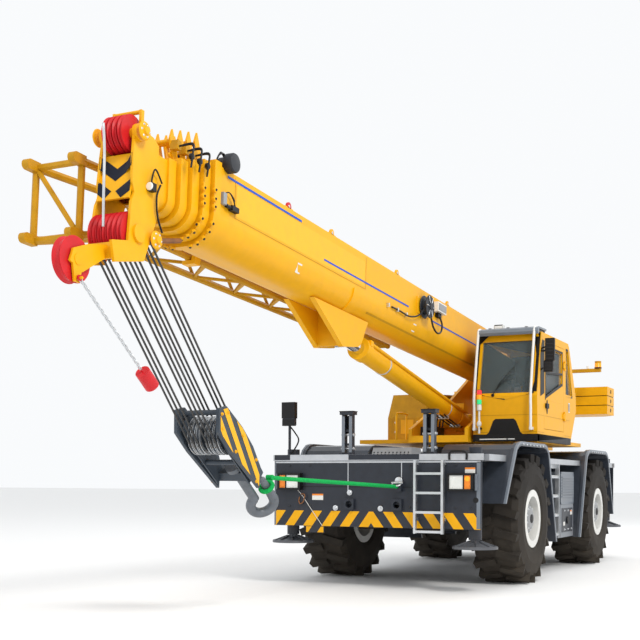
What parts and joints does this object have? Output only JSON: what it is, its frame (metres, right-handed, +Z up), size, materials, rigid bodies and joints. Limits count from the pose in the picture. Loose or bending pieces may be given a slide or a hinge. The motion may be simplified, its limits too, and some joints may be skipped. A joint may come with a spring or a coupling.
{
  "type": "rough terrain crane",
  "caption": "Two-axle rough terrain mobile crane with a telescopic boom carried low, stowed lattice jib, outriggers in, and the hook block tied back.",
  "frame": {"origin": "middle of the crane's box on the ground, with the boom forward and low as it is parked", "axes": "+X forward along the carrier, +Y to the cab's side, +Z up"},
  "size_m": [14.2467, 3.24, 4.5619],
  "materials": {
    "slate_paint": "satin dark slate paint",
    "deck_edge": "bright deck edge and tread plate",
    "slate_paint_dark": "dark slate paint",
    "axle_grey": "dark grey castings",
    "engine_grey": "grey casting",
    "box_grey": "grey paint",
    "step_metal": "brushed bare aluminium",
    "lamp_lens": "lamp lens in a black frame",
    "fitting_grey": "grey paint",
    "boom_yellow": "gloss warm yellow",
    "hood_yellow": "gloss darker yellow",
    "cab_yellow": "gloss warm yellow",
    "window": "tinted window glass",
    "seat_black": "black seat and consoles",
    "fitting_black": "black fittings",
    "winch_grey": "grey drum",
    "chrome_rod": "hard chrome",
    "sheave_red": "red paint",
    "rope_steel": "greased wire rope",
    "block_slate": "slate paint",
    "hook_grey": "forged hook",
    "sling_green": "green woven sling",
    "weight_red": "red paint",
    "knuckle_grey": "grey casting",
    "tyre_rubber": "black rubber",
    "rim_white": "off-white paint",
    "jack_steel": "bright steel rod and float"
  },
  "bodies": {
    "carrier": {"chassis": "slate_paint", "outrigger_boxes": "slate_paint", "end_plates": "slate_paint", "decks": "deck_edge", "fenders": "slate_paint_dark", "axles": "axle_grey", "engine": "engine_grey", "side_boxes": "box_grey", "steps": "step_metal", "lamps": "lamp_lens", "front_fittings": "fitting_grey", "sling_end": "sling_green"},
    "knuckle_fl": {"knuckle_fl": "knuckle_grey"},
    "knuckle_fr": {"knuckle_fr": "knuckle_grey"},
    "knuckle_rl": {"knuckle_rl": "knuckle_grey"},
    "knuckle_rr": {"knuckle_rr": "knuckle_grey"},
    "wheel_fl": {"tyre_fl": "tyre_rubber", "rim_fl": "rim_white"},
    "wheel_fr": {"tyre_fr": "tyre_rubber", "rim_fr": "rim_white"},
    "wheel_rl": {"tyre_rl": "tyre_rubber", "rim_rl": "rim_white"},
    "wheel_rr": {"tyre_rr": "tyre_rubber", "rim_rr": "rim_white"},
    "outrigger_fl": {"beam_fl": "slate_paint"},
    "foot_fl": {"jack_fl": "jack_steel"},
    "outrigger_fr": {"beam_fr": "slate_paint"},
    "foot_fr": {"jack_fr": "jack_steel"},
    "outrigger_rl": {"beam_rl": "slate_paint"},
    "foot_rl": {"jack_rl": "jack_steel"},
    "outrigger_rr": {"beam_rr": "slate_paint"},
    "foot_rr": {"jack_rr": "jack_steel"},
    "superstructure": {"turret": "boom_yellow", "counterweight": "boom_yellow", "turret_hood": "hood_yellow", "cab_shell": "cab_yellow", "cab_glass": "window", "cab_interior": "seat_black", "cab_fittings": "fitting_black"},
    "cab_door": {"door": "cab_yellow", "door_glass": "window"},
    "main_drum": {"main_winch": "winch_grey"},
    "aux_drum": {"aux_winch": "winch_grey"},
    "cylinder_barrel": {"lift_barrel": "boom_yellow"},
    "cylinder_rod": {"lift_rod": "chrome_rod"},
    "boom": {"boom_base": "boom_yellow", "jib": "hood_yellow"},
    "boom_2": {"section_2": "boom_yellow"},
    "boom_3": {"section_3": "boom_yellow"},
    "boom_4": {"section_4": "boom_yellow"},
    "boom_5": {"boom_head": "boom_yellow", "head_sheaves": "sheave_red"},
    "block": {"hoist_ropes": "rope_steel", "hook_block": "block_slate", "hook": "hook_grey", "sling_loop": "sling_green"},
    "tie_sling": {"sling": "sling_green"},
    "limit_bob": {"limit_weight": "weight_red"}
  },
  "joints": [
    {"name": "steer_fl", "type": "hinge", "parent": "carrier", "child": "knuckle_fl", "pos_m": [-0.96445, 0.95, 0.875], "axis": [0, 0, 1], "range_deg": [-24, 24]},
    {"name": "steer_fr", "type": "hinge", "parent": "carrier", "child": "knuckle_fr", "pos_m": [-0.96445, -0.95, 0.875], "axis": [0, 0, 1], "range_deg": [-24, 24]},
    {"name": "steer_rl", "type": "hinge", "parent": "carrier", "child": "knuckle_rl", "pos_m": [-5.06445, 0.95, 0.875], "axis": [0, 0, 1], "range_deg": [-24, 24]},
    {"name": "steer_rr", "type": "hinge", "parent": "carrier", "child": "knuckle_rr", "pos_m": [-5.06445, -0.95, 0.875], "axis": [0, 0, 1], "range_deg": [-24, 24]},
    {"name": "roll_fl", "type": "hinge", "parent": "knuckle_fl", "child": "wheel_fl", "pos_m": [-0.96445, 1.2525, 0.875], "axis": [0, 1, 0], "continuous": true},
    {"name": "roll_fr", "type": "hinge", "parent": "knuckle_fr", "child": "wheel_fr", "pos_m": [-0.96445, -1.2525, 0.875], "axis": [0, 1, 0], "continuous": true},
    {"name": "roll_rl", "type": "hinge", "parent": "knuckle_rl", "child": "wheel_rl", "pos_m": [-5.06445, 1.2525, 0.875], "axis": [0, 1, 0], "continuous": true},
    {"name": "roll_rr", "type": "hinge", "parent": "knuckle_rr", "child": "wheel_rr", "pos_m": [-5.06445, -1.2525, 0.875], "axis": [0, 1, 0], "continuous": true},
    {"name": "outrigger_fl", "type": "slide", "parent": "carrier", "child": "outrigger_fl", "axis": [0, 1, 0], "range_m": [0, 2.15]},
    {"name": "jack_fl", "type": "slide", "parent": "outrigger_fl", "child": "foot_fl", "axis": [0, 0, -1], "range_m": [0, 0.54]},
    {"name": "outrigger_fr", "type": "slide", "parent": "carrier", "child": "outrigger_fr", "axis": [0, -1, 0], "range_m": [0, 2.15]},
    {"name": "jack_fr", "type": "slide", "parent": "outrigger_fr", "child": "foot_fr", "axis": [0, 0, -1], "range_m": [0, 0.54]},
    {"name": "outrigger_rl", "type": "slide", "parent": "carrier", "child": "outrigger_rl", "axis": [0, 1, 0], "range_m": [0, 2.15]},
    {"name": "jack_rl", "type": "slide", "parent": "outrigger_rl", "child": "foot_rl", "axis": [0, 0, -1], "range_m": [0, 0.54]},
    {"name": "outrigger_rr", "type": "slide", "parent": "carrier", "child": "outrigger_rr", "axis": [0, -1, 0], "range_m": [0, 2.15]},
    {"name": "jack_rr", "type": "slide", "parent": "outrigger_rr", "child": "foot_rr", "axis": [0, 0, -1], "range_m": [0, 0.54]},
    {"name": "slew", "type": "hinge", "parent": "carrier", "child": "superstructure", "pos_m": [-3.01445, 0, 1.905], "axis": [0, 0, 1], "continuous": true},
    {"name": "door_swing", "type": "hinge", "parent": "superstructure", "child": "cab_door", "pos_m": [-3.09445, 1.465, 2.85], "axis": [0, 0, 1], "range_deg": [0, 95]},
    {"name": "main_winch_turn", "type": "hinge", "parent": "superstructure", "child": "main_drum", "pos_m": [-5.41445, 0, 2.42], "axis": [0, 1, 0], "continuous": true},
    {"name": "aux_winch_turn", "type": "hinge", "parent": "superstructure", "child": "aux_drum", "pos_m": [-5.96945, 0, 2.42], "axis": [0, 1, 0], "continuous": true},
    {"name": "luff", "type": "hinge", "parent": "superstructure", "child": "boom", "pos_m": [-4.36445, 0, 2.95], "axis": [0, -1, 0], "range_deg": [-4.1, 74.4]},
    {"name": "cylinder_swing", "type": "hinge", "parent": "superstructure", "child": "cylinder_barrel", "pos_m": [-2.66445, 0, 2.29], "axis": [0, -1, 0], "range_deg": [-4.54, 81.37]},
    {"name": "cylinder_stroke", "type": "slide", "parent": "cylinder_barrel", "child": "cylinder_rod", "axis": [0.9842, 0, 0.177], "range_m": [-0.126, 2.112]},
    {"name": "telescope_2", "type": "slide", "parent": "boom", "child": "boom_2", "axis": [0.998, 0, 0.0628], "range_m": [0, 8.3]},
    {"name": "telescope_3", "type": "slide", "parent": "boom_2", "child": "boom_3", "axis": [0.998, 0, 0.0628], "range_m": [0, 8.3]},
    {"name": "telescope_4", "type": "slide", "parent": "boom_3", "child": "boom_4", "axis": [0.998, 0, 0.0628], "range_m": [0, 8.3]},
    {"name": "telescope_5", "type": "slide", "parent": "boom_4", "child": "boom_5", "axis": [0.998, 0, 0.0628], "range_m": [0, 8.3]},
    {"name": "block_swing", "type": "hinge", "parent": "boom_5", "child": "block", "pos_m": [6.27709, 0, 3.41911], "axis": [0, -1, 0], "range_deg": [-30.95, 1.76]},
    {"name": "sling_swing", "type": "hinge", "parent": "block", "child": "tie_sling", "pos_m": [3.87576, 0.13396, 1.41189], "axis": [0, -1, 0], "range_deg": [-2.51, 44.53]},
    {"name": "limit_bob_swing", "type": "hinge", "parent": "boom_5", "child": "limit_bob", "pos_m": [6.93787, 0.13, 2.94968], "axis": [0, -1, 0], "range_deg": [-22.46, 1.29]}
  ],
  "couplings": [
    {"joint": "steer_fr", "follows": "steer_fl", "ratio": 1},
    {"joint": "steer_rr", "follows": "steer_rl", "ratio": 1},
    {"joint": "cylinder_swing", "follows": "luff", "ratio": 1.093},
    {"joint": "cylinder_stroke", "follows": "luff", "m_per_rad": 1.6187},
    {"joint": "telescope_3", "follows": "telescope_2", "ratio": 1},
    {"joint": "telescope_4", "follows": "telescope_2", "ratio": 1},
    {"joint": "telescope_5", "follows": "telescope_2", "ratio": 1},
    {"joint": "block_swing", "follows": "luff", "ratio": -0.41532},
    {"joint": "sling_swing", "follows": "luff", "ratio": 0.59777},
    {"joint": "limit_bob_swing", "follows": "luff", "ratio": -0.30107}
  ]
}
